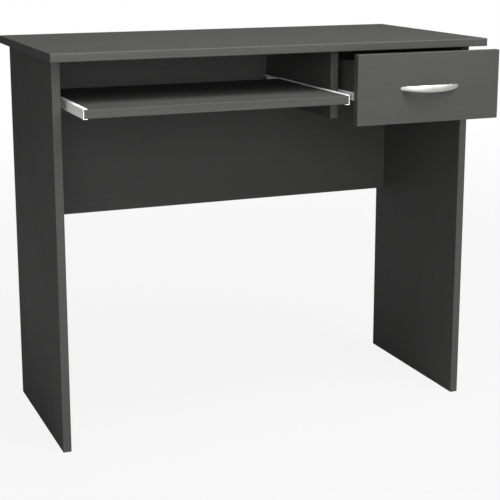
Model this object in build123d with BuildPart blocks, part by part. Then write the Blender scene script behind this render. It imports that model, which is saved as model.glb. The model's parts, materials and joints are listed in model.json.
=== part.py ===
from build123d import *
import os
from math import sqrt

# Computer desk with a pull-out keyboard tray and one drawer.
# +X is to the user's right, +Y is to the rear, +Z is up, all in millimetres.
# The origin is on the floor, in the middle of the whole desk as it stands here,
# with the tray and the drawer partly pulled out.

os.makedirs("parts", exist_ok=True)

# ---------------------------------------------------------------- driving dimensions
# Boards
desk_width = 900.0
desk_depth = 450.0
desk_height = 770.0
board = 16.0
desktop_front = -181.0
side_overhang = 12.0
front_overhang = 48.0
panel_depth = 360.0
modesty_inset = 19.0
modesty_height = 360.0
divider_left_face = 122.5
divider_height = 137.0
desktop_band = 2.0
desktop_rounding = 1.5
band = 1.0
band_rounding = 0.6
butt_gap = 0.1

# Keyboard tray
tray_pulled_out = 108.0
tray_closed_gap = 7.0
tray_bottom = 660.0
tray_edge_gap = 0.8

# Drawer
drawer_pulled_out = 95.4
front_width = 313.0
front_height = 136.0
front_bottom = 616.7
front_right_side = 438.2
drawer_board = 12.0
drawer_length = 300.0
drawer_side_bottom = 658.0
drawer_side_height = 75.0
bottom_sheet = 3.0
groove_depth = 4.0
groove_slack = 0.1
groove_height = 10.0

# Runners, the same sheet and rollers for the tray and the drawer
runner_gap = 12.5
sheet = 1.2
tray_runner_inset = 52.0
drawer_runner_inset = 22.0
runner_half_height = 8.7
runner_reach = 9.8
runner_axis = 664.0
tray_runner_length = 266.0
drawer_runner_length = 280.0
tab_length = 28.0
stop_height = 3.0
roller_play = 0.3
front_roller_radius = 7.0
rear_roller_radius = 7.2
roller_from_front = 18.0
roller_from_rear = 14.0
tread_width = 6.0
axle_radius = 2.0
axle_play = 0.05
tray_travel = 190.0
drawer_travel = 205.0

# Fasteners
cam_radius = 7.5
cam_depth = 12.5
cam_distance = 34.0
small_cam_radius = 6.0
small_cam_depth = 9.0
small_cam_distance = 24.0
bolt_thread = 11.0
bolt_radius = 3.0
dowel_radius = 4.0
dowel_length = 35.0
dowel_in_mate = 12.0
fit_gap = 0.05

# Handle
handle_length = 128.0
handle_spacing = 96.0
handle_projection = 25.0
handle_thickness = 5.0
handle_mid_height = 14.6
handle_tip_height = 7.6
handle_z = 684.7

# ---------------------------------------------------------------- places worked out from them
half_width = desk_width / 2
desktop_rear = desktop_front + desk_depth
desktop_under = desk_height - board
panel_out = half_width - side_overhang
panel_in = panel_out - board
panel_front = desktop_front + front_overhang
panel_rear = panel_front + panel_depth
modesty_rear = panel_rear - modesty_inset
modesty_front = modesty_rear - board
modesty_bottom = desktop_under - modesty_height
divider_right_face = divider_left_face + board
divider_mid = (divider_left_face + divider_right_face) / 2
divider_bottom = desktop_under - divider_height

tray_front = panel_front - tray_pulled_out
tray_rear = modesty_front - tray_closed_gap - tray_pulled_out
tray_top = tray_bottom + board
channel_bottom = tray_bottom - sheet
channel_top = tray_top + 0.5 + sheet
channel_reach = 8.0
tray_half_gap = runner_gap + sheet + tray_edge_gap
tray_left = -panel_in + tray_half_gap
tray_right = divider_left_face - tray_half_gap

front_rear_face = panel_front - drawer_pulled_out
front_face = front_rear_face - board
front_left_side = front_right_side - front_width
front_top = front_bottom + front_height
front_middle = front_right_side - front_width / 2
box_left = divider_right_face + runner_gap
box_right = panel_in - runner_gap
box_rear = front_rear_face + drawer_length
box_top = drawer_side_bottom + drawer_side_height
bottom_low = drawer_side_bottom + groove_height
bottom_high = bottom_low + bottom_sheet
slide_low = drawer_side_bottom - sheet

tray_runner_front = panel_front + tray_runner_inset
drawer_runner_front = panel_front + drawer_runner_inset
tray_roller_y = tray_rear - roller_from_rear
drawer_roller_y = box_rear - roller_from_rear


# ---------------------------------------------------------------- shapes used many times
def slab(x_span, y_span, z_span, mode=Mode.ADD):
    """Add a square-edged board or plate between the given limits to the current part."""
    with BuildSketch(Plane.XY.offset(min(z_span))) as plan:
        with Locations((sum(x_span) / 2, sum(y_span) / 2)):
            Rectangle(abs(x_span[1] - x_span[0]), abs(y_span[1] - y_span[0]))
    extrude(plan.sketch, amount=abs(z_span[1] - z_span[0]), mode=mode)


def groove(x_span, y_span, z_span):
    """Cut a square-edged groove between the given limits out of the current part."""
    slab(x_span, y_span, z_span, mode=Mode.SUBTRACT)


def bore(start, direction, radius, depth):
    """Drill a round hole from start along direction."""
    with BuildSketch(Plane(origin=start, z_dir=direction)) as mouth:
        Circle(radius)
    extrude(mouth.sketch, amount=depth, mode=Mode.SUBTRACT)


def turned(start, direction, outline, mode=Mode.ADD):
    """Add a turned piece. The outline lists (radius, distance along direction) points."""
    across = Vector(1, 0, 0) if abs(direction[2]) > 0.5 else Vector(0, 0, 1)
    section = Plane(origin=start, x_dir=across, z_dir=across.cross(Vector(*direction)))
    with BuildSketch(section) as half:
        with BuildLine():
            Polyline(*outline, close=True)
        make_face()
    revolve(half.sketch, axis=Axis(start, direction), mode=mode)


def cross_recess(start, direction, length, width, depth):
    """Cut a cross-shaped driver recess into a screw or cam head."""
    with BuildSketch(Plane(origin=start, z_dir=direction)) as cross:
        Rectangle(length, width)
        Rectangle(width, length)
    extrude(cross.sketch, amount=depth, mode=Mode.SUBTRACT)


def edging(middle, outward, across, length, thickness, width, rounding):
    """Add one strip of edging. Middle is the middle of the face that is glued on."""
    section = Plane(origin=middle, x_dir=outward, z_dir=Vector(*outward).cross(Vector(*across)))
    with BuildSketch(section) as profile:
        with Locations((thickness / 2, 0)):
            Rectangle(thickness, width)
        fillet(profile.vertices().group_by(Axis.X)[-1], rounding)
    extrude(profile.sketch, amount=length / 2, both=True)


def along(point, direction, distance):
    """The point that lies the given distance from another along a direction."""
    return tuple(p + distance * d for p, d in zip(point, direction))


def reverse(direction):
    """The opposite direction."""
    return tuple(-d for d in direction)


# ---------------------------------------------------------------- cam fittings
# Each fitting is (mate, into, face): the point on the joint at half the board's thickness,
# the direction from there into the board that holds the cam, and that board's cam face.
left_cams = [((-panel_out + board / 2, y, desktop_under), (0, 0, -1), (1, 0, 0)) for y in (-90.0, 180.0)]
right_cams = [((panel_out - board / 2, y, desktop_under), (0, 0, -1), (-1, 0, 0)) for y in (-90.0, 180.0)]
divider_cams = [((divider_mid, y, desktop_under), (0, 0, -1), (1, 0, 0)) for y in (-80.0, 140.0)]
modesty_middle = modesty_front + board / 2
modesty_cams = [
    ((side * panel_in, modesty_middle, z), (-side, 0, 0), (0, 1, 0))
    for side in (-1, 1)
    for z in (450.0, 700.0)
]
desk_cams = left_cams + right_cams + divider_cams + modesty_cams

box_side_middles = ((box_left + drawer_board / 2, 1), (box_right - drawer_board / 2, -1))
drawer_cams = [
    ((x, front_rear_face, z), (0, 1, 0), (inward, 0, 0))
    for x, inward in box_side_middles
    for z in (690.0, 718.0)
]


def cam_pocket(cam, thickness, radius, depth, distance):
    """Bore a board for the cam and for the bolt that reaches it through the board's edge."""
    mate, into, face = cam
    centre = along(along(mate, into, distance), face, thickness / 2)
    bore(centre, reverse(face), radius + fit_gap, depth + fit_gap)
    bore(mate, into, bolt_radius + 0.8, distance - radius + 1.0)


def cam_lock(cam, thickness, radius, depth, distance):
    """Add one cam lock, with its driver recess and the pocket that grips the bolt's head."""
    mate, into, face = cam
    centre = along(along(mate, into, distance), face, thickness / 2)
    turned(centre, reverse(face), [(0, 0), (radius - 0.4, 0), (radius, 0.4), (radius, depth), (0, depth)])
    cross_recess(centre, reverse(face), radius, 1.4, 1.8)
    bore(along(mate, into, distance - radius - 1.0), into, bolt_radius + 0.9, radius + 2.5)


def cam_bolt(cam, radius, distance):
    """Add one cam bolt: thread in the mating board, collar, shank and head inside the cam."""
    mate, into, _ = cam
    start = along(mate, into, -bolt_thread)
    head = bolt_thread + distance - radius + 3.0
    shank = bolt_radius - 0.8
    outline = [
        (0, 0),
        (bolt_radius - 0.6, 0),
        (bolt_radius, 1.0),
        (bolt_radius, bolt_thread),
        (bolt_radius + 0.5, bolt_thread),
        (bolt_radius + 0.5, bolt_thread + 1.5),
        (shank, bolt_thread + 2.0),
        (shank, head),
        (bolt_radius, head + 0.6),
        (bolt_radius, head + 2.6),
        (0, head + 3.2),
    ]
    turned(start, into, outline)


def mate_holes(cams):
    """Drill the mating board for the threads of its cam bolts."""
    for mate, into, _ in cams:
        bore(mate, reverse(into), bolt_radius + fit_gap, bolt_thread + fit_gap)


# ---------------------------------------------------------------- dowels
left_top_dowels = [((-panel_out + board / 2, y, desktop_under), (0, 0, -1)) for y in (-30.0, 120.0)]
right_top_dowels = [((panel_out - board / 2, y, desktop_under), (0, 0, -1)) for y in (-30.0, 120.0)]
divider_dowels = [((divider_mid, 30.0, desktop_under), (0, 0, -1))]
modesty_top_dowels = [((x, modesty_middle, desktop_under), (0, 0, -1)) for x in (-240.0, 280.0)]
modesty_end_dowels = [((side * panel_in, modesty_middle, 575.0), (-side, 0, 0)) for side in (-1, 1)]
top_dowels = left_top_dowels + right_top_dowels + divider_dowels + modesty_top_dowels
dowels = top_dowels + modesty_end_dowels


def dowel_mate_holes(places):
    """Drill the board that takes the short end of each dowel."""
    for mate, into in places:
        bore(mate, reverse(into), dowel_radius + fit_gap, dowel_in_mate)


def dowel_board_holes(places):
    """Drill the board that takes the long end of each dowel."""
    for mate, into in places:
        bore(mate, into, dowel_radius + fit_gap, dowel_length - dowel_in_mate + 1.0)


# ---------------------------------------------------------------- screws
def countersunk_screw(start, direction, length, radius):
    """Add a countersunk wood screw whose head lies flush at start."""
    head = radius * 2.0
    outline = [(0, 0), (head, 0), (radius, radius), (radius, length - 4.0), (0, length)]
    turned(start, direction, outline)
    cross_recess(start, direction, head * 1.1, 0.9, 1.0)


def countersunk_hole(start, direction, length, radius):
    """Drill for a countersunk screw from the face that its head lies in."""
    head = radius * 2.0 + fit_gap
    outline = [(0, 0), (head, 0), (radius + fit_gap, radius), (radius + fit_gap, length), (0, length)]
    turned(start, direction, outline, mode=Mode.SUBTRACT)


def pan_screw(seat, direction, head_height, length, radius):
    """Add a pan-head screw. Seat is the point where the underside of its head bears."""
    head = radius * 1.85
    top = along(seat, direction, -head_height)
    outline = [
        (0, 0),
        (head * 0.7, 0),
        (head, head_height * 0.5),
        (head, head_height),
        (radius, head_height),
        (radius, head_height + length - 2.5),
        (0, head_height + length),
    ]
    turned(top, direction, outline)
    cross_recess(top, direction, head * 1.2, 0.8, head_height * 0.6)


wood_screw = 1.75
runner_screw_length = 12.0
runner_screw_depth = runner_screw_length - sheet

# Each runner's wall is (face, inward, front): the wall's face, the direction from that wall
# towards the moving member, and where the runner's front end is.
tray_walls = {
    "left": (-panel_in, 1, tray_runner_front),
    "right": (divider_left_face, -1, tray_runner_front),
}
drawer_walls = {
    "left": (divider_right_face, 1, drawer_runner_front),
    "right": (panel_in, -1, drawer_runner_front),
}
runner_screw_steps = (30.0, 120.0, 230.0)


def runner_screw_places(wall):
    """The points on a wall where one runner's screws enter it."""
    wall_x, _, front = wall
    return [(wall_x, front + step, runner_axis) for step in runner_screw_steps]


def runner_pilot_holes(wall):
    """Drill a board for one runner's screws."""
    for place in runner_screw_places(wall):
        bore(place, (-wall[1], 0, 0), wood_screw + fit_gap, runner_screw_depth + 0.5)


# ---------------------------------------------------------------- desktop
with BuildPart() as desktop:
    slab(
        (-half_width + desktop_band, half_width - desktop_band),
        (desktop_front + desktop_band, desktop_rear - desktop_band),
        (desktop_under, desk_height),
    )
    mate_holes(left_cams + right_cams + divider_cams)
    dowel_mate_holes(top_dowels)
desktop.part.label = "desktop"
export_step(desktop.part, "parts/desktop.step")

with BuildPart() as desktop_edging:
    mid_y = (desktop_front + desktop_rear) / 2
    mid_z = desk_height - board / 2
    for y, out in ((desktop_front + desktop_band, -1), (desktop_rear - desktop_band, 1)):
        edging((0, y, mid_z), (0, out, 0), (0, 0, 1), desk_width, desktop_band, board, desktop_rounding)
    side_strip = desk_depth - 2 * desktop_band - 2 * butt_gap
    for out in (-1, 1):
        glued = (out * (half_width - desktop_band), mid_y, mid_z)
        edging(glued, (out, 0, 0), (0, 0, 1), side_strip, desktop_band, board, desktop_rounding)
desktop_edging.part.label = "desktop_edging"
export_step(desktop_edging.part, "parts/desktop_edging.step")

# ---------------------------------------------------------------- side panels
side_core = (panel_front + band, panel_rear - band)

with BuildPart() as left_side_panel:
    slab((-panel_out, -panel_in), side_core, (0, desktop_under))
    for cam in left_cams:
        cam_pocket(cam, board, cam_radius, cam_depth, cam_distance)
    mate_holes(modesty_cams[:2])
    dowel_board_holes(left_top_dowels)
    dowel_mate_holes(modesty_end_dowels[:1])
    runner_pilot_holes(tray_walls["left"])
left_side_panel.part.label = "left_side_panel"
export_step(left_side_panel.part, "parts/left_side_panel.step")

with BuildPart() as right_side_panel:
    slab((panel_in, panel_out), side_core, (0, desktop_under))
    for cam in right_cams:
        cam_pocket(cam, board, cam_radius, cam_depth, cam_distance)
    mate_holes(modesty_cams[2:])
    dowel_board_holes(right_top_dowels)
    dowel_mate_holes(modesty_end_dowels[1:])
    runner_pilot_holes(drawer_walls["right"])
right_side_panel.part.label = "right_side_panel"
export_step(right_side_panel.part, "parts/right_side_panel.step")

for side_name, side in (("left", -1), ("right", 1)):
    with BuildPart() as side_edging:
        for y, out in ((panel_front + band, -1), (panel_rear - band, 1)):
            glued = (side * (panel_out - board / 2), y, desktop_under / 2)
            edging(glued, (0, out, 0), (1, 0, 0), desktop_under, band, board, band_rounding)
    side_edging.part.label = f"{side_name}_side_edging"
    export_step(side_edging.part, f"parts/{side_name}_side_edging.step")

# ---------------------------------------------------------------- modesty panel
divider_screw_places = [(divider_mid, modesty_rear, z) for z in (652.0, 728.0)]
divider_screw_length = 45.0
divider_screw_radius = 2.0

with BuildPart() as modesty_panel:
    slab((-panel_in, panel_in), (modesty_front, modesty_rear), (modesty_bottom + band, desktop_under))
    for cam in modesty_cams:
        cam_pocket(cam, board, cam_radius, cam_depth, cam_distance)
    dowel_board_holes(modesty_top_dowels + modesty_end_dowels)
    for place in divider_screw_places:
        countersunk_hole(place, (0, -1, 0), divider_screw_length + 1.0, divider_screw_radius)
modesty_panel.part.label = "modesty_panel"
export_step(modesty_panel.part, "parts/modesty_panel.step")

with BuildPart() as modesty_edging:
    glued = (0, modesty_middle, modesty_bottom + band)
    edging(glued, (0, 0, -1), (0, 1, 0), 2 * panel_in, band, board, band_rounding)
modesty_edging.part.label = "modesty_edging"
export_step(modesty_edging.part, "parts/modesty_edging.step")

# ---------------------------------------------------------------- divider
with BuildPart() as divider_panel:
    divider_span = (divider_left_face, divider_right_face)
    slab(divider_span, (panel_front + band, modesty_front), (divider_bottom + band, desktop_under))
    for cam in divider_cams:
        cam_pocket(cam, board, cam_radius, cam_depth, cam_distance)
    dowel_board_holes(divider_dowels)
    for x, _, z in divider_screw_places:
        screw_in_divider = divider_screw_length - board + 1.0
        bore((x, modesty_front, z), (0, -1, 0), divider_screw_radius + fit_gap, screw_in_divider)
    runner_pilot_holes(tray_walls["right"])
    runner_pilot_holes(drawer_walls["left"])
divider_panel.part.label = "divider_panel"
export_step(divider_panel.part, "parts/divider_panel.step")

with BuildPart() as divider_edging:
    front_glued = (divider_mid, panel_front + band, (divider_bottom + desktop_under) / 2)
    edging(front_glued, (0, -1, 0), (1, 0, 0), divider_height, band, board, band_rounding)
    low_length = modesty_front - panel_front - band - butt_gap
    low_glued = (divider_mid, modesty_front - low_length / 2, divider_bottom + band)
    edging(low_glued, (0, 0, -1), (1, 0, 0), low_length, band, board, band_rounding)
divider_edging.part.label = "divider_edging"
export_step(divider_edging.part, "parts/divider_edging.step")

# ---------------------------------------------------------------- hidden fittings of the carcass
with BuildPart() as cam_locks:
    for cam in desk_cams:
        cam_lock(cam, board, cam_radius, cam_depth, cam_distance)
cam_locks.part.label = "cam_locks"
export_step(cam_locks.part, "parts/cam_locks.step")

with BuildPart() as cam_bolts:
    for cam in desk_cams:
        cam_bolt(cam, cam_radius, cam_distance)
cam_bolts.part.label = "cam_bolts"
export_step(cam_bolts.part, "parts/cam_bolts.step")

with BuildPart() as wooden_dowels:
    for mate, into in dowels:
        start = along(mate, into, -dowel_in_mate + 0.5)
        tip = dowel_radius - 1.0
        end = dowel_length - 0.5
        outline = [(0, 0), (tip, 0), (dowel_radius, 1), (dowel_radius, end - 1), (tip, end), (0, end)]
        turned(start, into, outline)
wooden_dowels.part.label = "wooden_dowels"
export_step(wooden_dowels.part, "parts/wooden_dowels.step")

with BuildPart() as divider_screws:
    for place in divider_screw_places:
        countersunk_screw(place, (0, -1, 0), divider_screw_length, divider_screw_radius)
divider_screws.part.label = "divider_screws"
export_step(divider_screws.part, "parts/divider_screws.step")


# ---------------------------------------------------------------- cabinet runners
def across_gap(wall, *distances):
    """X places at the given distances from a wall towards the moving member."""
    wall_x, inward, _ = wall
    return tuple(wall_x + inward * distance for distance in distances)


def stop_offset():
    """Distance between a rear roller's axle and the stop tab that it rolls up to."""
    overlap = stop_height - roller_play
    return sqrt(rear_roller_radius**2 - (rear_roller_radius - overlap) ** 2) + roller_play


def runner(wall, length, roller_axle_z, rest_roller_y, pulled_out, travel):
    """Add one cabinet runner: a C-shaped channel with a roller tab and two stop tabs."""
    inner_half = runner_half_height - sheet
    outline = [
        (runner_reach, runner_half_height),
        (0, runner_half_height),
        (0, -runner_half_height),
        (runner_reach, -runner_half_height),
        (runner_reach, -inner_half),
        (sheet, -inner_half),
        (sheet, inner_half),
        (runner_reach, inner_half),
    ]
    wall_x, inward, front = wall
    section = Plane(origin=(wall_x, front, runner_axis), x_dir=(inward, 0, 0), z_dir=(0, -inward, 0))
    with BuildSketch(section) as profile:
        with BuildLine():
            Polyline(*outline, close=True)
        make_face()
        fillet(profile.vertices().group_by(Axis.X)[0], sheet)
    extrude(profile.sketch, amount=-inward * length)
    tab_low = roller_axle_z - axle_radius - 3.0
    tab_y = (front, front + tab_length)
    slab(across_gap(wall, 0, sheet), tab_y, (tab_low, runner_axis - inner_half))
    ledge = runner_axis - inner_half
    open_stop = rest_roller_y - (travel - pulled_out) - stop_offset()
    closed_stop = rest_roller_y + pulled_out + stop_offset()
    for stop_y in ((open_stop - sheet, open_stop), (closed_stop, closed_stop + sheet)):
        slab(across_gap(wall, 4.5, runner_reach - 0.8), stop_y, (ledge - sheet / 2, ledge + stop_height))
    for place in runner_screw_places(wall):
        bore(place, (inward, 0, 0), wood_screw + fit_gap, sheet + 0.5)
    axle_place = (wall_x, front + roller_from_front, roller_axle_z)
    bore(axle_place, (inward, 0, 0), axle_radius + fit_gap / 2, sheet + 0.5)


tray_axle_z = channel_bottom - roller_play - front_roller_radius
drawer_axle_z = slide_low - roller_play - front_roller_radius

for side_name, wall in tray_walls.items():
    with BuildPart() as tray_runner:
        runner(wall, tray_runner_length, tray_axle_z, tray_roller_y, tray_pulled_out, tray_travel)
    tray_runner.part.label = f"tray_runner_{side_name}"
    export_step(tray_runner.part, f"parts/tray_runner_{side_name}.step")

for side_name, wall in drawer_walls.items():
    with BuildPart() as drawer_runner:
        runner(wall, drawer_runner_length, drawer_axle_z, drawer_roller_y, drawer_pulled_out, drawer_travel)
    drawer_runner.part.label = f"drawer_runner_{side_name}"
    export_step(drawer_runner.part, f"parts/drawer_runner_{side_name}.step")

all_walls = list(tray_walls.values()) + list(drawer_walls.values())

with BuildPart() as runner_screws:
    for wall in all_walls:
        for place in runner_screw_places(wall):
            seat = along(place, (wall[1], 0, 0), sheet)
            pan_screw(seat, (-wall[1], 0, 0), 1.6, runner_screw_length, wood_screw)
runner_screws.part.label = "runner_screws"
export_step(runner_screws.part, "parts/runner_screws.step")

# ---------------------------------------------------------------- rollers and their axles
front_hub_start = sheet + 0.3
front_tread_start = 13.0
front_tread_end = front_tread_start + tread_width
rear_tread_end = 4.5
rear_tread_start = rear_tread_end + tread_width - 1.0
hub_radius = 3.5
axle_head = 3.2


def front_axle(wall, axle_z):
    """Add the axle of a cabinet roller: a rivet that stands out from the runner's tab."""
    length = front_tread_end + 1.2
    outline = [
        (0, 0),
        (axle_radius, 0),
        (axle_radius, length - 0.8),
        (axle_head, length - 0.8),
        (axle_head - 0.5, length),
        (0, length),
    ]
    turned((wall[0], wall[2] + roller_from_front, axle_z), (wall[1], 0, 0), outline)


def front_roller(wall, axle_z):
    """Add a cabinet roller: a tread under the moving member on one long hub."""
    start = (wall[0] + wall[1] * front_hub_start, wall[2] + roller_from_front, axle_z)
    hub = front_tread_start - front_hub_start
    end = front_tread_end - front_hub_start
    inner = axle_radius + axle_play
    rim = front_roller_radius - 0.4
    outline = [
        (inner, 0),
        (hub_radius, 0),
        (hub_radius, hub),
        (rim, hub),
        (front_roller_radius, hub + 0.5),
        (front_roller_radius, end - 0.5),
        (rim, end),
        (inner, end),
    ]
    turned(start, (wall[1], 0, 0), outline)


def rear_axle(wall, member, y, z):
    """Add the axle of a moving roller: a rivet through the member's web, towards the wall."""
    head_face = rear_tread_end - 1.1
    length = member + sheet - head_face
    outline = [
        (0, 0),
        (axle_radius, 0),
        (axle_radius, length - 0.8),
        (axle_head, length - 0.8),
        (axle_head - 0.5, length),
        (0, length),
    ]
    turned((wall[0] + wall[1] * (member + sheet), y, z), (-wall[1], 0, 0), outline)


def rear_roller(wall, member, y, z):
    """Add a moving roller that runs inside the cabinet runner."""
    start = member - 0.2
    hub = start - rear_tread_start
    end = start - rear_tread_end
    inner = axle_radius + axle_play
    rim = rear_roller_radius - 0.4
    outline = [
        (inner, 0),
        (hub_radius, 0),
        (hub_radius, hub),
        (rim, hub),
        (rear_roller_radius, hub + 0.5),
        (rear_roller_radius, end - 0.5),
        (rim, end),
        (inner, end),
    ]
    turned((wall[0] + wall[1] * start, y, z), (-wall[1], 0, 0), outline)


with BuildPart() as runner_axles:
    for wall in tray_walls.values():
        front_axle(wall, tray_axle_z)
    for wall in drawer_walls.values():
        front_axle(wall, drawer_axle_z)
runner_axles.part.label = "runner_axles"
export_step(runner_axles.part, "parts/runner_axles.step")

for unit, walls, axle_z in (("tray", tray_walls, tray_axle_z), ("drawer", drawer_walls, drawer_axle_z)):
    for side_name, wall in walls.items():
        with BuildPart() as fixed_roller:
            front_roller(wall, axle_z)
        fixed_roller.part.label = f"{unit}_front_roller_{side_name}"
        export_step(fixed_roller.part, f"parts/{unit}_front_roller_{side_name}.step")

# Distance from the wall to the web of each moving member.
tray_member = runner_gap
drawer_member = runner_gap - sheet
moving_rollers = (
    ("tray", tray_walls, tray_member, tray_roller_y),
    ("drawer", drawer_walls, drawer_member, drawer_roller_y),
)

for unit, walls, member, roller_y in moving_rollers:
    with BuildPart() as moving_axles:
        for wall in walls.values():
            rear_axle(wall, member, roller_y, runner_axis)
    moving_axles.part.label = f"{unit}_axles"
    export_step(moving_axles.part, f"parts/{unit}_axles.step")
    for side_name, wall in walls.items():
        with BuildPart() as moving_roller:
            rear_roller(wall, member, roller_y, runner_axis)
        moving_roller.part.label = f"{unit}_rear_roller_{side_name}"
        export_step(moving_roller.part, f"parts/{unit}_rear_roller_{side_name}.step")

# ---------------------------------------------------------------- keyboard tray
tray_screw_steps = (131.0, 211.0, 281.0)
tray_screw_z = tray_bottom + board / 2
edge_screw_length = 14.0


def tray_screw_places(wall):
    """Where the screws of one channel enter its web, from the runner's side."""
    return [(*across_gap(wall, tray_member), tray_front + step, tray_screw_z) for step in tray_screw_steps]


with BuildPart() as keyboard_tray:
    tray_y = (tray_front + band, tray_rear - band)
    slab((tray_left, tray_right), tray_y, (tray_bottom, tray_top))
    for wall in tray_walls.values():
        for _, y, z in tray_screw_places(wall):
            edge = (*across_gap(wall, tray_half_gap), y, z)
            bore(edge, (wall[1], 0, 0), wood_screw + fit_gap, edge_screw_length)
keyboard_tray.part.label = "keyboard_tray"
export_step(keyboard_tray.part, "parts/keyboard_tray.step")

with BuildPart() as tray_edging:
    tray_mid_x = (tray_left + tray_right) / 2
    tray_width = tray_right - tray_left
    for y, out in ((tray_front + band, -1), (tray_rear - band, 1)):
        glued = (tray_mid_x, y, tray_screw_z)
        edging(glued, (0, out, 0), (0, 0, 1), tray_width, band, board, band_rounding)
tray_edging.part.label = "tray_edging"
export_step(tray_edging.part, "parts/tray_edging.step")


def tray_channel(wall):
    """Add one channel that grips the tray's side edge, with a swaged band along its web."""
    low, high = channel_bottom, channel_top
    swage_low, swage_high = low + 4.0, high - 4.0
    swage, slope = 0.5, 0.8
    web, inside, reach = tray_member, tray_member + sheet, tray_member + channel_reach
    outline = [
        (reach, low),
        (web, low),
        (web, swage_low),
        (web + swage, swage_low + slope),
        (web + swage, swage_high - slope),
        (web, swage_high),
        (web, high),
        (reach, high),
        (reach, high - sheet),
        (inside, high - sheet),
        (inside, swage_high + 0.3),
        (inside + swage, swage_high - slope + 0.3),
        (inside + swage, swage_low + slope - 0.3),
        (inside, swage_low - 0.3),
        (inside, low + sheet),
        (reach, low + sheet),
    ]
    wall_x, inward, _ = wall
    section = Plane(origin=(wall_x, tray_front, 0), x_dir=(inward, 0, 0), z_dir=(0, -inward, 0))
    with BuildSketch(section) as profile:
        with BuildLine():
            Polyline(*outline, close=True)
        make_face()
        web_corners = profile.vertices().group_by(Axis.X)[0].sort_by(Axis.Y)
        fillet((web_corners[0], web_corners[-1]), sheet)
    extrude(profile.sketch, amount=-inward * (tray_rear - tray_front))
    for place in tray_screw_places(wall):
        bore(place, (inward, 0, 0), wood_screw + fit_gap, sheet + 1.5)
    axle = (wall_x + inward * web, tray_roller_y, runner_axis)
    bore(axle, (inward, 0, 0), axle_radius + fit_gap / 2, sheet + 1.5)


for side_name, wall in tray_walls.items():
    with BuildPart() as channel:
        tray_channel(wall)
    channel.part.label = f"tray_channel_{side_name}"
    export_step(channel.part, f"parts/tray_channel_{side_name}.step")

with BuildPart() as tray_screws:
    for wall in tray_walls.values():
        for place in tray_screw_places(wall):
            pan_screw(along(place, (wall[1], 0, 0), 0.5), (wall[1], 0, 0), 1.6, edge_screw_length, wood_screw)
tray_screws.part.label = "tray_screws"
export_step(tray_screws.part, "parts/tray_screws.step")

# ---------------------------------------------------------------- drawer front
sheet_low = bottom_low - groove_slack
sheet_high = bottom_high + groove_slack
groove_left = box_left + drawer_board - groove_depth
groove_right = box_right - drawer_board + groove_depth
handle_screw_radius = 2.0
handle_posts = [(front_middle + side * handle_spacing / 2, handle_z) for side in (-1, 1)]

with BuildPart() as drawer_front:
    front_x = (front_left_side + band, front_right_side - band)
    slab(front_x, (front_face, front_rear_face), (front_bottom + band, front_top - band))
    groove_y = (front_rear_face - groove_depth, front_rear_face)
    groove((groove_left, groove_right), groove_y, (sheet_low, sheet_high))
    mate_holes(drawer_cams)
    for x, z in handle_posts:
        bore((x, front_face, z), (0, 1, 0), handle_screw_radius + 0.25, board)
drawer_front.part.label = "drawer_front"
export_step(drawer_front.part, "parts/drawer_front.step")

with BuildPart() as drawer_front_edging:
    front_mid_y = (front_face + front_rear_face) / 2
    front_mid_z = front_bottom + front_height / 2
    for z, out in ((front_bottom + band, -1), (front_top - band, 1)):
        glued = (front_middle, front_mid_y, z)
        edging(glued, (0, 0, out), (0, 1, 0), front_width, band, board, band_rounding)
    upright = front_height - 2 * band - 2 * butt_gap
    for x, out in ((front_left_side + band, -1), (front_right_side - band, 1)):
        glued = (x, front_mid_y, front_mid_z)
        edging(glued, (out, 0, 0), (0, 1, 0), upright, band, board, band_rounding)
drawer_front_edging.part.label = "drawer_front_edging"
export_step(drawer_front_edging.part, "parts/drawer_front_edging.step")

# ---------------------------------------------------------------- drawer box
slide_screw_steps = (60.0, 150.0, 240.0)
slide_screw_z = runner_axis
slide_screw_length = 10.5
back_screw_length = 32.0
back_middle = box_rear - drawer_board / 2
back_screw_heights = (684.0, 718.0)
box_sides = {"left": (box_left, 1), "right": (box_right, -1)}


def drawer_side(outer, inward, cams):
    """Add one side of the drawer box with its groove and fastener holes."""
    slab((outer, outer + inward * drawer_board), (front_rear_face, box_rear), (drawer_side_bottom, box_top))
    inner = outer + inward * drawer_board
    groove((inner - inward * groove_depth, inner), (front_rear_face, box_rear), (sheet_low, sheet_high))
    for cam in cams:
        cam_pocket(cam, drawer_board, small_cam_radius, small_cam_depth, small_cam_distance)
    for step in slide_screw_steps:
        place = (outer, front_rear_face + step, slide_screw_z)
        bore(place, (inward, 0, 0), wood_screw + fit_gap, slide_screw_length - sheet)
    for z in back_screw_heights:
        countersunk_hole((outer, back_middle, z), (inward, 0, 0), drawer_board + 1.0, wood_screw)


for (side_name, (outer, inward)), cams in zip(box_sides.items(), (drawer_cams[:2], drawer_cams[2:])):
    with BuildPart() as box_side:
        drawer_side(outer, inward, cams)
    box_side.part.label = f"drawer_side_{side_name}"
    export_step(box_side.part, f"parts/drawer_side_{side_name}.step")

pin_places = [(front_middle + offset, back_middle, bottom_low) for offset in (-90.0, 0.0, 90.0)]
pin_radius = 0.8

with BuildPart() as drawer_back:
    inside_x = (box_left + drawer_board, box_right - drawer_board)
    slab(inside_x, (box_rear - drawer_board, box_rear), (bottom_high, box_top))
    for outer, inward in box_sides.values():
        for z in back_screw_heights:
            end_grain = (outer + inward * drawer_board, back_middle, z)
            bore(end_grain, (inward, 0, 0), wood_screw + fit_gap, back_screw_length - drawer_board + 0.5)
    for place in pin_places:
        bore((place[0], place[1], bottom_high), (0, 0, 1), pin_radius + fit_gap, 16.0)
drawer_back.part.label = "drawer_back"
export_step(drawer_back.part, "parts/drawer_back.step")

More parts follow.
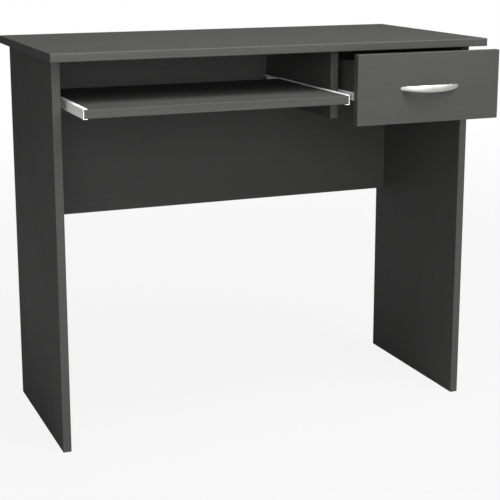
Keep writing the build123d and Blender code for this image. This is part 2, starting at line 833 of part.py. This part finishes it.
with BuildPart() as drawer_bottom:
    sheet_x = (groove_left + 0.2, groove_right - 0.2)
    slab(sheet_x, (front_rear_face - groove_depth + 0.2, box_rear), (bottom_low, bottom_high))
    for place in pin_places:
        bore(place, (0, 0, 1), pin_radius + fit_gap, bottom_sheet)
drawer_bottom.part.label = "drawer_bottom"
export_step(drawer_bottom.part, "parts/drawer_bottom.step")

with BuildPart() as drawer_bottom_pins:
    for place in pin_places:
        top = along(place, (0, 0, 1), -0.8)
        outline = [(0, 0), (1.6, 0), (1.6, 0.8), (pin_radius, 0.8), (pin_radius, 16.0), (0, 17.5)]
        turned(top, (0, 0, 1), outline)
drawer_bottom_pins.part.label = "drawer_bottom_pins"
export_step(drawer_bottom_pins.part, "parts/drawer_bottom_pins.step")

with BuildPart() as drawer_back_screws:
    for outer, inward in box_sides.values():
        for z in back_screw_heights:
            countersunk_screw((outer, back_middle, z), (inward, 0, 0), back_screw_length, wood_screw)
drawer_back_screws.part.label = "drawer_back_screws"
export_step(drawer_back_screws.part, "parts/drawer_back_screws.step")

with BuildPart() as drawer_cam_locks:
    for cam in drawer_cams:
        cam_lock(cam, drawer_board, small_cam_radius, small_cam_depth, small_cam_distance)
drawer_cam_locks.part.label = "drawer_cam_locks"
export_step(drawer_cam_locks.part, "parts/drawer_cam_locks.step")

with BuildPart() as drawer_cam_bolts:
    for cam in drawer_cams:
        cam_bolt(cam, small_cam_radius, small_cam_distance)
drawer_cam_bolts.part.label = "drawer_cam_bolts"
export_step(drawer_cam_bolts.part, "parts/drawer_cam_bolts.step")


# ---------------------------------------------------------------- drawer slides
def drawer_slide(wall):
    """Add one L-shaped slide that carries the drawer's side on its foot."""
    web, reach = drawer_member, drawer_member + 10.0
    outline = [
        (reach, slide_low),
        (web, slide_low),
        (web, slide_low + drawer_member + 4.7),
        (web + sheet, slide_low + drawer_member + 4.7),
        (web + sheet, slide_low + sheet),
        (reach, slide_low + sheet),
    ]
    wall_x, inward, _ = wall
    section = Plane(origin=(wall_x, front_rear_face, 0), x_dir=(inward, 0, 0), z_dir=(0, -inward, 0))
    with BuildSketch(section) as profile:
        with BuildLine():
            Polyline(*outline, close=True)
        make_face()
        heel = profile.vertices().group_by(Axis.X)[0].sort_by(Axis.Y)[0]
        fillet(heel, sheet)
    extrude(profile.sketch, amount=-inward * drawer_length)
    for step in slide_screw_steps:
        place = (wall_x + inward * web, front_rear_face + step, slide_screw_z)
        bore(place, (inward, 0, 0), wood_screw + fit_gap, sheet)
    axle = (wall_x + inward * web, drawer_roller_y, runner_axis)
    bore(axle, (inward, 0, 0), axle_radius + fit_gap / 2, sheet)


for side_name, wall in drawer_walls.items():
    with BuildPart() as slide_member:
        drawer_slide(wall)
    slide_member.part.label = f"drawer_slide_{side_name}"
    export_step(slide_member.part, f"parts/drawer_slide_{side_name}.step")

with BuildPart() as drawer_slide_screws:
    for wall in drawer_walls.values():
        for step in slide_screw_steps:
            seat = (*across_gap(wall, drawer_member), front_rear_face + step, slide_screw_z)
            pan_screw(seat, (wall[1], 0, 0), 1.4, slide_screw_length - 0.5, wood_screw)
drawer_slide_screws.part.label = "drawer_slide_screws"
export_step(drawer_slide_screws.part, "parts/drawer_slide_screws.step")

# ---------------------------------------------------------------- handle
post_radius = 4.0
thread_depth = 9.0

with BuildPart() as drawer_handle:
    # Plan of the bow, between its outer and its inner arc.
    half = handle_length / 2
    inner_rise = handle_projection - handle_thickness
    with BuildSketch(Plane.XY.offset(handle_z)):
        with BuildLine():
            tip_thickness = 2.2
            left_tip = (front_middle - half, front_face)
            right_tip = (front_middle + half, front_face)
            outer_top = (front_middle, front_face - handle_projection)
            inner_top = (front_middle, front_face - inner_rise)
            inner_left = (front_middle - half + 2 * tip_thickness, front_face)
            inner_right = (front_middle + half - 2 * tip_thickness, front_face)
            ThreePointArc(left_tip, outer_top, right_tip)
            Line(right_tip, inner_right)
            ThreePointArc(inner_right, inner_top, inner_left)
            Line(inner_left, left_tip)
        make_face()
    extrude(amount=handle_mid_height, both=True)
    # Front view of the bow: a slim lens with rounded ends.
    elevation = Plane(origin=(front_middle, front_face + 1.0, handle_z), x_dir=(1, 0, 0), z_dir=(0, -1, 0))
    with BuildSketch(elevation):
        tip = handle_tip_height / 2
        with BuildLine():
            ThreePointArc((-half + tip, tip), (0, handle_mid_height / 2), (half - tip, tip))
            ThreePointArc((half - tip, tip), (half, 0), (half - tip, -tip))
            ThreePointArc((half - tip, -tip), (0, -handle_mid_height / 2), (-half + tip, -tip))
            ThreePointArc((-half + tip, -tip), (-half, 0), (-half + tip, tip))
        make_face()
    extrude(amount=handle_projection + 2.0, mode=Mode.INTERSECT)
    # Round posts that meet the drawer front, each tapped for a screw.
    for x, z in handle_posts:
        bow_depth = 11.0
        with BuildSketch(Plane(origin=(x, front_face, z), z_dir=(0, -1, 0))):
            Circle(post_radius)
        extrude(amount=bow_depth)
    for x, z in handle_posts:
        bore((x, front_face, z), (0, -1, 0), handle_screw_radius + fit_gap, thread_depth)
drawer_handle.part.label = "drawer_handle"
export_step(drawer_handle.part, "parts/drawer_handle.step")

with BuildPart() as handle_screws:
    screw_length = board + thread_depth - 1.5
    for x, z in handle_posts:
        pan_screw((x, front_rear_face, z), (0, -1, 0), 2.2, screw_length, handle_screw_radius)
handle_screws.part.label = "handle_screws"
export_step(handle_screws.part, "parts/handle_screws.step")
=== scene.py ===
import json
import math

import bmesh
import bpy
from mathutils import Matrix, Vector


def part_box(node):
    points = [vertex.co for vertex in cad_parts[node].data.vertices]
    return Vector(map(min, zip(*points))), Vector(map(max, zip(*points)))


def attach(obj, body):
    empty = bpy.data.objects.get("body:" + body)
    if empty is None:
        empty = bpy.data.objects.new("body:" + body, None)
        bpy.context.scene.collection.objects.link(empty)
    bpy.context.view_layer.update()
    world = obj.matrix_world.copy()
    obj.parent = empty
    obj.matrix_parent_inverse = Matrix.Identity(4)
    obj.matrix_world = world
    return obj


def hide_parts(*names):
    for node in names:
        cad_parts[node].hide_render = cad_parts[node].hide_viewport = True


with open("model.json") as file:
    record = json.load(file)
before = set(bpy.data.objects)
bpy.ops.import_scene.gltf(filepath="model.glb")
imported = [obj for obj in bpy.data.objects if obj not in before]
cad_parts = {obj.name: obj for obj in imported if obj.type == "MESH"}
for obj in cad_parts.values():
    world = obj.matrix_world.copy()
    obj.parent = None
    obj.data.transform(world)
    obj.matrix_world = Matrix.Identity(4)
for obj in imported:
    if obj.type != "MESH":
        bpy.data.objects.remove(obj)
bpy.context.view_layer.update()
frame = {"nodes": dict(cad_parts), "record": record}
nodes = frame["nodes"]
scene = bpy.context.scene

# Mix nodes have several sockets of one name, so they are picked by number.
MIX_SHADER_FIRST = 1
MIX_SHADER_SECOND = 2
MIX_COLOUR_FIRST = 6
MIX_COLOUR_SECOND = 7
MIX_COLOUR_RESULT = 2

# ---------------------------------------------------------------- camera, world and lights
# The photograph's view: from the front left, a little above the desktop.
CAMERA_PLACE = (-0.9668, -2.3579, 0.9759)
CAMERA_AZIMUTH = math.radians(-22.39)
CAMERA_PITCH = math.radians(-11.97)
CAMERA_LENS = 90.27
CAMERA_SHIFT = -0.10
SENSOR_WIDTH = 36.0

camera_data = bpy.data.cameras.new("camera")
camera_data.lens = CAMERA_LENS
camera_data.sensor_width = SENSOR_WIDTH
camera_data.shift_y = CAMERA_SHIFT
camera = bpy.data.objects.new("camera", camera_data)
camera.location = CAMERA_PLACE
camera.rotation_euler = (math.pi / 2 + CAMERA_PITCH, 0.0, CAMERA_AZIMUTH)
scene.collection.objects.link(camera)
scene.camera = camera

scene.view_settings.view_transform = "Standard"
scene.view_settings.look = "None"


def background(tree, strength):
    """A white world shader of the given strength."""
    node = tree.nodes.new("ShaderNodeBackground")
    node.inputs["Color"].default_value = (1.0, 1.0, 1.0, 1.0)
    node.inputs["Strength"].default_value = strength
    return node.outputs["Background"]


def build_world(seen, ambient):
    """White studio surroundings: what the camera sees is brighter than what lights the desk."""
    world = bpy.data.worlds.new("studio")
    world.use_nodes = True
    tree = world.node_tree
    tree.nodes.clear()
    output = tree.nodes.new("ShaderNodeOutputWorld")
    mix = tree.nodes.new("ShaderNodeMixShader")
    path = tree.nodes.new("ShaderNodeLightPath")
    tree.links.new(path.outputs["Is Camera Ray"], mix.inputs["Fac"])
    tree.links.new(background(tree, ambient), mix.inputs[MIX_SHADER_FIRST])
    tree.links.new(background(tree, seen), mix.inputs[MIX_SHADER_SECOND])
    tree.links.new(mix.outputs["Shader"], output.inputs["Surface"])
    scene.world = world


def softbox(name, place, target, width, height, power, mirrored=True):
    """One rectangular softbox that faces a target; without mirrored it leaves no glints."""
    data = bpy.data.lights.new(name, "AREA")
    data.shape = "RECTANGLE"
    data.size = width
    data.size_y = height
    data.energy = power
    facing = Vector(target) - Vector(place)
    light = bpy.data.objects.new(name, data)
    light.location = place
    light.visible_camera = False
    light.visible_glossy = mirrored
    light.rotation_euler = facing.to_track_quat("-Z", "Y").to_euler()
    scene.collection.objects.link(light)


# Lights turn to the middle of the desk, apart from the small one for the left panel.
DESK_MIDDLE = (0.0, 0.0, 0.5)
LIGHT_DISTANCE = 3.2
LEFT_PANEL_MIDDLE = (-0.45, -0.1, 0.6)
LEFT_LIGHT_PLACE = (-1.5, -0.9, 0.9)


def around_desk(azimuth, elevation):
    """A point at the lights' distance from the desk, azimuth from the front towards the right."""
    turn = math.radians(azimuth)
    rise = math.radians(elevation)
    level = LIGHT_DISTANCE * math.cos(rise)
    height = DESK_MIDDLE[2] + LIGHT_DISTANCE * math.sin(rise)
    return (level * math.sin(turn), -level * math.cos(turn), height)


build_world(seen=1.0, ambient=0.13)
softbox("key_above", around_desk(0, 68), DESK_MIDDLE, width=1.9, height=1.6, power=78.0)
softbox("key_above_right", around_desk(35, 68), DESK_MIDDLE, width=1.9, height=1.6, power=52.0)
softbox("fill_front_right", around_desk(35, 38), DESK_MIDDLE, width=1.8, height=1.4, power=82.0)
softbox("fill_front_low", around_desk(-14, 10), DESK_MIDDLE, width=1.8, height=1.4, power=50.0)
softbox("fill_left", LEFT_LIGHT_PLACE, LEFT_PANEL_MIDDLE, width=0.7, height=0.7, power=4.0)
softbox("fill_rear", around_desk(180, 20), DESK_MIDDLE, width=2.0, height=1.4, power=20.0, mirrored=False)


# The floor reaches so far that its edge fades into the white surroundings.
FLOOR_SIZE = 24.0
FLOOR_GREY = (0.27, 0.27, 0.27, 1.0)


def floor_glow(tree, share_near, near, far):
    """How much of the floor is plain white to the camera: a share near the desk, all of it far away."""
    place = tree.nodes.new("ShaderNodeTexCoord")
    distance = tree.nodes.new("ShaderNodeVectorMath")
    distance.operation = "LENGTH"
    fade = tree.nodes.new("ShaderNodeMapRange")
    fade.interpolation_type = "SMOOTHSTEP"
    fade.inputs["From Min"].default_value = near
    fade.inputs["From Max"].default_value = far
    fade.inputs["To Min"].default_value = share_near
    fade.inputs["To Max"].default_value = 1.0
    path = tree.nodes.new("ShaderNodeLightPath")
    share = tree.nodes.new("ShaderNodeMath")
    share.operation = "MULTIPLY"
    tree.links.new(place.outputs["Object"], distance.inputs[0])
    tree.links.new(distance.outputs["Value"], fade.inputs["Value"])
    tree.links.new(fade.outputs["Result"], share.inputs[0])
    tree.links.new(path.outputs["Is Camera Ray"], share.inputs[1])
    return share.outputs["Value"]


def floor_material():
    """Grey to the lights, so that it bounces little, and nearly white to the camera."""
    material = bpy.data.materials.new("pale_floor")
    material.use_nodes = True
    tree = material.node_tree
    shader = tree.nodes["Principled BSDF"]
    shader.inputs["Base Color"].default_value = FLOOR_GREY
    shader.inputs["Roughness"].default_value = 0.9
    shader.inputs["Specular IOR Level"].default_value = 0.1
    glow = tree.nodes.new("ShaderNodeEmission")
    mix = tree.nodes.new("ShaderNodeMixShader")
    tree.links.new(floor_glow(tree, share_near=0.88, near=0.7, far=4.5), mix.inputs["Fac"])
    tree.links.new(shader.outputs["BSDF"], mix.inputs[MIX_SHADER_FIRST])
    tree.links.new(glow.outputs["Emission"], mix.inputs[MIX_SHADER_SECOND])
    tree.links.new(mix.outputs["Shader"], tree.nodes["Material Output"].inputs["Surface"])
    return material


def build_floor(half):
    """A plain pale floor level with the desk's feet: a soft shadow shows on it near the desk."""
    mesh = bpy.data.meshes.new("floor")
    corners = [(-half, -half, 0), (half, -half, 0), (half, half, 0), (-half, half, 0)]
    mesh.from_pydata(corners, [], [(0, 1, 2, 3)])
    floor = bpy.data.objects.new("floor", mesh)
    scene.collection.objects.link(floor)
    mesh.materials.append(floor_material())


build_floor(FLOOR_SIZE / 2)


# ---------------------------------------------------------------- material building blocks
# How closely the bevelled and the flat normals agree where the edge mask, for wear and for painted
# highlights, starts and where it is full.
FLAT_AGREEMENT = 0.98
EDGE_AGREEMENT = 0.80
BEVEL_SAMPLES = 4


class Material:
    """A Principled material with short ways to add the procedural textures used here.

    Noise scales are in cycles per metre, edge radii and relief depths in metres, colours linear.
    """

    def __init__(self, name, roughness, metallic=0.0, specular=0.5):
        self.material = bpy.data.materials.new(name)
        self.material.use_nodes = True
        self.tree = self.material.node_tree
        self.shader = self.tree.nodes["Principled BSDF"]
        self.shader.inputs["Roughness"].default_value = roughness
        self.shader.inputs["Metallic"].default_value = metallic
        self.shader.inputs["Specular IOR Level"].default_value = specular
        self.place = self.tree.nodes.new("ShaderNodeTexCoord").outputs["Object"]

    def link(self, output, socket):
        """Join an output socket to an input socket."""
        self.tree.links.new(output, socket)

    def stretched(self, scale):
        """Object coordinates scaled along each axis, in cycles per metre."""
        mapping = self.tree.nodes.new("ShaderNodeMapping")
        mapping.inputs["Scale"].default_value = scale
        self.link(self.place, mapping.inputs["Vector"])
        return mapping.outputs["Vector"]

    def noise(self, scale, detail=3.0, roughness=0.55, distortion=0.0):
        """Noise from 0 to 1 with the given cycles per metre along X, Y and Z."""
        noise = self.tree.nodes.new("ShaderNodeTexNoise")
        noise.inputs["Scale"].default_value = 1.0
        noise.inputs["Detail"].default_value = detail
        noise.inputs["Roughness"].default_value = roughness
        noise.inputs["Distortion"].default_value = distortion
        self.link(self.stretched(scale), noise.inputs["Vector"])
        return noise.outputs["Fac"]

    def between(self, value, low, high, new_low=0.0, new_high=1.0):
        """Map a value's range low to high onto another range, clamped and smoothed."""
        ramp = self.tree.nodes.new("ShaderNodeMapRange")
        ramp.interpolation_type = "SMOOTHSTEP"
        ramp.inputs["From Min"].default_value = low
        ramp.inputs["From Max"].default_value = high
        ramp.inputs["To Min"].default_value = new_low
        ramp.inputs["To Max"].default_value = new_high
        self.link(value, ramp.inputs["Value"])
        return ramp.outputs["Result"]

    def maths(self, operation, first, second):
        """One Math node on two sockets or numbers."""
        node = self.tree.nodes.new("ShaderNodeMath")
        node.operation = operation
        for socket, value in zip(node.inputs, (first, second)):
            if isinstance(value, (int, float)):
                socket.default_value = value
            else:
                self.link(value, socket)
        return node.outputs["Value"]

    def mix(self, factor, first, second):
        """Blend two colours, each a socket or an (r, g, b) value."""
        node = self.tree.nodes.new("ShaderNodeMix")
        node.data_type = "RGBA"
        self.link(factor, node.inputs["Factor"])
        sockets = (node.inputs[MIX_COLOUR_FIRST], node.inputs[MIX_COLOUR_SECOND])
        for socket, colour in zip(sockets, (first, second)):
            if isinstance(colour, tuple):
                socket.default_value = (*colour, 1.0)
            else:
                self.link(colour, socket)
        return node.outputs[MIX_COLOUR_RESULT]

    def edge_wear_and_highlight_mask(self, radius):
        # The mask paints highlights on the graphite arrises and wear on the white runners.
        """A mask that is 1 on sharp outer edges and 0 on the flats."""
        bevel = self.tree.nodes.new("ShaderNodeBevel")
        bevel.samples = BEVEL_SAMPLES
        bevel.inputs["Radius"].default_value = radius
        flat = self.tree.nodes.new("ShaderNodeNewGeometry").outputs["Normal"]
        dot = self.tree.nodes.new("ShaderNodeVectorMath")
        dot.operation = "DOT_PRODUCT"
        self.link(bevel.outputs["Normal"], dot.inputs[0])
        self.link(flat, dot.inputs[1])
        return self.between(dot.outputs["Value"], FLAT_AGREEMENT, EDGE_AGREEMENT)

    def bump(self, height, depth):
        """Use a height of about 0 to 1 as the surface relief, with the depth of 1 in metres."""
        node = self.tree.nodes.new("ShaderNodeBump")
        node.inputs["Strength"].default_value = 1.0
        node.inputs["Distance"].default_value = depth
        self.link(height, node.inputs["Height"])
        self.link(node.outputs["Normal"], self.shader.inputs["Normal"])

    def colour(self, value):
        """Set the base colour from a socket."""
        self.link(value, self.shader.inputs["Base Color"])

    def rough(self, value):
        """Set the roughness from a socket."""
        self.link(value, self.shader.inputs["Roughness"])


def even(scale):
    """The same texture scale along every axis."""
    return (scale, scale, scale)


def along_axis(axis, along, across):
    """Texture scales with one value along the grain's axis and another across it."""
    scales = [across, across, across]
    scales["XYZ".index(axis)] = along
    return tuple(scales)


GRAPHITE = (0.053, 0.053, 0.0515)
GRAPHITE_DARK = (0.046, 0.046, 0.0445)
# The lightest grey is a painted highlight for the edging's arrises.
GRAPHITE_PAINTED_HIGHLIGHT = (0.072, 0.072, 0.070)


def shade(colour, factor):
    """A colour made darker or lighter by a factor."""
    return tuple(factor * part for part in colour)


def graphite_board(name, grain, base=GRAPHITE):
    """Melamine-faced board: even graphite with very faint streaks, short pressed wood pores and a painted
    highlight along its arrises.
    """
    made = Material(name, 0.52, specular=0.22)
    clouds = made.noise(even(3.0), detail=2.0)
    streaks = made.noise(along_axis(grain, 2.6, 240.0), detail=4.0, roughness=0.65)
    pores = made.between(made.noise(along_axis(grain, 34.0, 900.0), detail=2.0), 0.58, 0.72)
    grit = made.noise(even(2600.0), detail=1.0)
    tone = made.maths("ADD", made.maths("MULTIPLY", streaks, 0.75), made.maths("MULTIPLY", clouds, 0.25))
    body = made.mix(made.between(tone, 0.34, 0.66), shade(base, 0.96), shade(base, 1.04))
    pored = made.mix(made.maths("MULTIPLY", pores, 0.5), body, shade(base, 0.66))
    # Painted highlight: the arrises are made paler, as if light caught their rounding.
    edge_highlight = made.maths("MULTIPLY", made.edge_wear_and_highlight_mask(0.0008), 0.5)
    made.colour(made.mix(edge_highlight, pored, shade(base, 1.6)))
    sealed = made.between(clouds, 0.3, 0.7, 0.48, 0.56)
    made.rough(made.maths("ADD", made.maths("MULTIPLY", pores, 0.12), sealed))
    relief = made.maths("SUBTRACT", made.maths("MULTIPLY", grit, 0.12), made.maths("MULTIPLY", pores, 0.9))
    made.bump(relief, 0.00006)
    return made.material


def edging_plastic(name, grain):
    """Plastic edging: the board's grey, a little smoother, with a patchy painted highlight along its
    arrises.
    """
    made = Material(name, 0.46, specular=0.28)
    lines = made.noise(along_axis(grain, 4.0, 700.0), detail=3.0)
    patches = made.noise(even(60.0), detail=4.0, roughness=0.7)
    body = made.mix(made.between(lines, 0.35, 0.65), shade(GRAPHITE, 0.92), shade(GRAPHITE, 1.12))
    # Painted highlight: the arrises are made paler, more in some patches than in others.
    edge_highlight = made.maths("MULTIPLY", made.edge_wear_and_highlight_mask(0.0012), made.between(patches, 0.35, 0.65, 0.35, 0.9))
    made.colour(made.mix(edge_highlight, body, GRAPHITE_PAINTED_HIGHLIGHT))
    made.rough(made.between(patches, 0.3, 0.7, 0.40, 0.52))
    made.bump(lines, 0.00004)
    return made.material


def white_epoxy():
    """White epoxy coating on rolled steel: orange peel, faint roll lines, rubbed edges."""
    made = Material("white_epoxy", 0.38, specular=0.5)
    peel = made.noise(even(900.0), detail=2.0)
    roll_lines = made.noise(along_axis("Y", 3.0, 900.0), detail=2.0)
    dust = made.noise(even(40.0), detail=4.0, roughness=0.7)
    body = made.mix(made.between(dust, 0.45, 0.75), (0.90, 0.90, 0.89), (0.84, 0.84, 0.83))
    lined = made.mix(made.between(roll_lines, 0.45, 0.75, 0.0, 0.35), body, (0.60, 0.60, 0.59))
    rubbed = made.maths("MULTIPLY", made.edge_wear_and_highlight_mask(0.0004), 0.35)
    made.colour(made.mix(rubbed, lined, (0.58, 0.58, 0.59)))
    made.rough(made.between(dust, 0.3, 0.7, 0.33, 0.46))
    made.bump(made.maths("ADD", peel, made.maths("MULTIPLY", roll_lines, 0.6)), 0.00004)
    return made.material


def brushed_metal(name, tint, dull, roughness, grain, metallic=1.0):
    """Plated metal with fine brushing along one axis and duller blotches."""
    made = Material(name, roughness, metallic=metallic)
    brushing = made.noise(along_axis(grain, 30.0, 2600.0), detail=3.0)
    blotches = made.noise(even(70.0), detail=3.0)
    body = made.mix(made.between(brushing, 0.3, 0.7), dull, tint)
    made.colour(made.mix(made.between(blotches, 0.5, 0.8, 0.0, 0.5), body, dull))
    dulled = made.between(blotches, 0.3, 0.7, roughness - 0.05, roughness + 0.06)
    made.rough(made.maths("ADD", dulled, made.maths("MULTIPLY", brushing, 0.08)))
    made.bump(brushing, 0.00003)
    return made.material


def zinc_casting():
    """Die-cast zinc: dull grey with a pitted skin."""
    made = Material("zinc_casting", 0.5, metallic=0.9)
    pits = made.noise(even(1400.0), detail=3.0)
    tarnish = made.noise(even(120.0), detail=3.0)
    made.colour(made.mix(made.between(tarnish, 0.35, 0.7), (0.46, 0.46, 0.47), (0.33, 0.33, 0.34)))
    made.rough(made.between(pits, 0.3, 0.7, 0.42, 0.62))
    made.bump(pits, 0.00008)
    return made.material


def dark_nylon():
    """Moulded nylon rollers: near black, with a rolled band that is polished by use."""
    made = Material("dark_nylon", 0.5, specular=0.4)
    moulded = made.noise(even(1800.0), detail=2.0)
    smears = made.noise(along_axis("X", 160.0, 400.0), detail=3.0)
    made.colour(made.mix(made.between(smears, 0.4, 0.75), (0.030, 0.030, 0.032), (0.060, 0.060, 0.062)))
    made.rough(made.between(smears, 0.3, 0.7, 0.38, 0.6))
    made.bump(moulded, 0.00003)
    return made.material


def hardboard():
    """Pressed hardboard for the drawer's bottom: brown fibres with a smooth sealed face."""
    made = Material("hardboard", 0.6, specular=0.3)
    fibres = made.noise(even(520.0), detail=5.0, roughness=0.7, distortion=1.2)
    clouds = made.noise(even(14.0), detail=3.0)
    body = made.mix(made.between(fibres, 0.3, 0.7), (0.20, 0.125, 0.07), (0.34, 0.225, 0.13))
    made.colour(made.mix(made.between(clouds, 0.4, 0.7, 0.0, 0.5), body, (0.26, 0.165, 0.095)))
    made.rough(made.between(fibres, 0.3, 0.7, 0.5, 0.72))
    made.bump(fibres, 0.00008)
    return made.material


def beech():
    """Turned beech dowels: pale pink-brown with short flecks."""
    made = Material("beech", 0.6, specular=0.3)
    flecks = made.between(made.noise(along_axis("Z", 160.0, 900.0), detail=2.0), 0.58, 0.7)
    rings = made.noise(along_axis("Z", 30.0, 260.0), detail=3.0)
    body = made.mix(made.between(rings, 0.3, 0.7), (0.50, 0.34, 0.20), (0.66, 0.48, 0.31))
    made.colour(made.mix(made.maths("MULTIPLY", flecks, 0.6), body, (0.36, 0.22, 0.12)))
    made.rough(made.between(rings, 0.3, 0.7, 0.55, 0.7))
    made.bump(rings, 0.0001)
    return made.material


# ---------------------------------------------------------------- materials on the CAD nodes
board_along = {axis: graphite_board(f"graphite_board_{axis.lower()}", axis) for axis in "XYZ"}
edging_along = {axis: edging_plastic(f"graphite_edging_{axis.lower()}", axis) for axis in "XYZ"}
drawer_board = graphite_board("drawer_board", "Y", base=GRAPHITE_DARK)
white = white_epoxy()
zinc = zinc_casting()
steel = brushed_metal(
    "zinc_plated_steel",
    tint=(0.66, 0.67, 0.69),
    dull=(0.50, 0.51, 0.54),
    roughness=0.30,
    grain="X",
)
nickel = brushed_metal(
    "satin_nickel",
    tint=(0.60, 0.595, 0.575),
    dull=(0.50, 0.495, 0.48),
    roughness=0.44,
    grain="X",
    metallic=0.75,
)
nylon = dark_nylon()
bottom_board = hardboard()
dowel_wood = beech()

finishes = {
    "desktop": board_along["X"],
    "left_side_panel": board_along["Z"],
    "right_side_panel": board_along["Z"],
    "modesty_panel": board_along["X"],
    "divider_panel": board_along["Y"],
    "keyboard_tray": board_along["X"],
    "drawer_front": board_along["X"],
    "desktop_edging": edging_along["X"],
    "left_side_edging": edging_along["Z"],
    "right_side_edging": edging_along["Z"],
    "modesty_edging": edging_along["X"],
    "divider_edging": edging_along["Z"],
    "tray_edging": edging_along["X"],
    "drawer_front_edging": edging_along["X"],
    "drawer_side_left": drawer_board,
    "drawer_side_right": drawer_board,
    "drawer_back": drawer_board,
    "drawer_bottom": bottom_board,
    "wooden_dowels": dowel_wood,
    "drawer_handle": nickel,
}
slot_finishes = {
    "white_runner": white,
    "zinc_casting": zinc,
    "zinc_plated_steel": steel,
    "nylon_roller": nylon,
}
node_slots = {part["node"]: part["material_slot"] for part in frame["record"]["subparts"]}

for name, node in nodes.items():
    finish = finishes.get(name) or slot_finishes[node_slots[name]]
    node.data.materials.clear()
    node.data.materials.append(finish)

# ---------------------------------------------------------------- the handle, swept smoothly
# Lengths are in metres; the crown and the least tip are shares of the thickness and of the tip.
HANDLE_TIP_HEIGHT = 0.0076
HANDLE_THICKNESS = 0.0050
HANDLE_TIP_THICKNESS = 0.0022
HANDLE_POST_SPACING = 0.096
HANDLE_POST_RADIUS = 0.004
HANDLE_FOOT_RADIUS = 0.0048
HANDLE_FOOT_LENGTH = 0.001
HANDLE_LEAST_THICKNESS = 0.0004
HANDLE_LEAST_TIP = 0.1
HANDLE_CROWN = 0.12
HANDLE_FRONT_SQUARING = 0.7
HANDLE_EDGE_SQUARING = 0.85
HANDLE_RINGS = 64
RING_POINTS = 24


def arc_height(across, half_width, rise):
    """Height of a circular arc over its chord, at a distance across from the chord's middle."""
    radius = (half_width**2 + rise**2) / (2 * rise)
    return math.sqrt(max(0.0, radius**2 - across**2)) - (radius - rise)


def ring_faces(mesh, rings):
    """Join rings of vertices into a tube and close its two ends."""
    for first, second in zip(rings, rings[1:]):
        for k in range(len(first)):
            after = (k + 1) % len(first)
            mesh.faces.new((first[k], first[after], second[after], second[k]))
    mesh.faces.new(rings[0])
    mesh.faces.new(rings[-1])


def rounded(value, power):
    """A sine or cosine pushed towards 1 and -1 by a power under 1, which squares a circle's corners."""
    return math.copysign(abs(value) ** power, value)


def bow_half_height(across, half_length, half_height):
    """Half the bow's height at a distance across from its middle, rounded off at the tips."""
    tip = HANDLE_TIP_HEIGHT / 2
    past_arc = abs(across) - (half_length - tip)
    if past_arc > 0:
        return math.sqrt(max(tip**2 - past_arc**2, (HANDLE_LEAST_TIP * tip) ** 2))
    return tip + arc_height(across, half_length - tip, half_height - tip)


def bow_thickness(across, half_length, room):
    """The bow's thickness from front to rear, thinner towards the tips and never more than the room."""
    share = 1.0 - (across / half_length) ** 2
    thickness = HANDLE_TIP_THICKNESS + (HANDLE_THICKNESS - HANDLE_TIP_THICKNESS) * share
    return min(thickness, max(room, HANDLE_LEAST_THICKNESS))


def bow_ring(mesh, across, low, high):
    """One cross-section of the bow: a slim upright oval with a crowned front."""
    middle = (low + high) / 2
    half_length = (high.x - low.x) / 2
    front = high.y - arc_height(across, half_length, high.y - low.y)
    tall = bow_half_height(across, half_length, (high.z - low.z) / 2)
    thickness = bow_thickness(across, half_length, high.y - front)
    ring = []
    for k in range(RING_POINTS):
        turn = 2 * math.pi * k / RING_POINTS
        inward = thickness / 2 * (1 - rounded(math.cos(turn), HANDLE_FRONT_SQUARING))
        if math.cos(turn) > 0:
            inward += HANDLE_CROWN * thickness * math.sin(turn) ** 2
        y = min(front + inward, high.y)
        z = middle.z + tall * rounded(math.sin(turn), HANDLE_EDGE_SQUARING)
        ring.append(mesh.verts.new((middle.x + across, y, z)))
    return ring


def post_ring(mesh, centre, radius):
    """One circle of a handle post, square to the drawer front."""
    ring = []
    for k in range(RING_POINTS):
        turn = 2 * math.pi * k / RING_POINTS
        offset = Vector((math.cos(turn), 0.0, math.sin(turn))) * radius
        ring.append(mesh.verts.new(centre + offset))
    return ring


def handle_post(mesh, side, low, high):
    """A round post with a wider foot, from the drawer front into the bow."""
    middle = (low + high) / 2
    half_length = (high.x - low.x) / 2
    x = middle.x + side * HANDLE_POST_SPACING / 2
    bow_front = high.y - arc_height(HANDLE_POST_SPACING / 2, half_length, high.y - low.y)
    profile = (
        (high.y, HANDLE_FOOT_RADIUS),
        (high.y - HANDLE_FOOT_LENGTH, HANDLE_FOOT_RADIUS),
        (high.y - 2 * HANDLE_FOOT_LENGTH, HANDLE_POST_RADIUS),
        (bow_front + HANDLE_TIP_THICKNESS, HANDLE_POST_RADIUS),
    )
    ring_faces(mesh, [post_ring(mesh, Vector((x, y, middle.z)), radius) for y, radius in profile])


def handle_object(mesh):
    """Turn the finished handle mesh into an object, with its four-sided faces smooth and its ends flat."""
    bmesh.ops.recalc_face_normals(mesh, faces=mesh.faces)
    for face in mesh.faces:
        face.smooth = len(face.verts) == 4
    data = bpy.data.meshes.new("handle_bow")
    mesh.to_mesh(data)
    mesh.free()
    data.materials.append(nickel)
    handle = bpy.data.objects.new("handle_bow", data)
    scene.collection.objects.link(handle)
    return handle


def smooth_handle():
    """A crowned lens-shaped bow on two round posts, in place of the CAD handle and as large."""
    low, high = (Vector(corner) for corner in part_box("drawer_handle"))
    half_length = (high.x - low.x) / 2
    mesh = bmesh.new()
    rings = []
    for i in range(HANDLE_RINGS + 1):
        across = half_length * math.sin(math.pi * (i / HANDLE_RINGS - 0.5))
        rings.append(bow_ring(mesh, across, low, high))
    ring_faces(mesh, rings)
    for side in (-1, 1):
        handle_post(mesh, side, low, high)
    handle = handle_object(mesh)
    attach(handle, "drawer")
    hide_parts("drawer_handle")


smooth_handle()
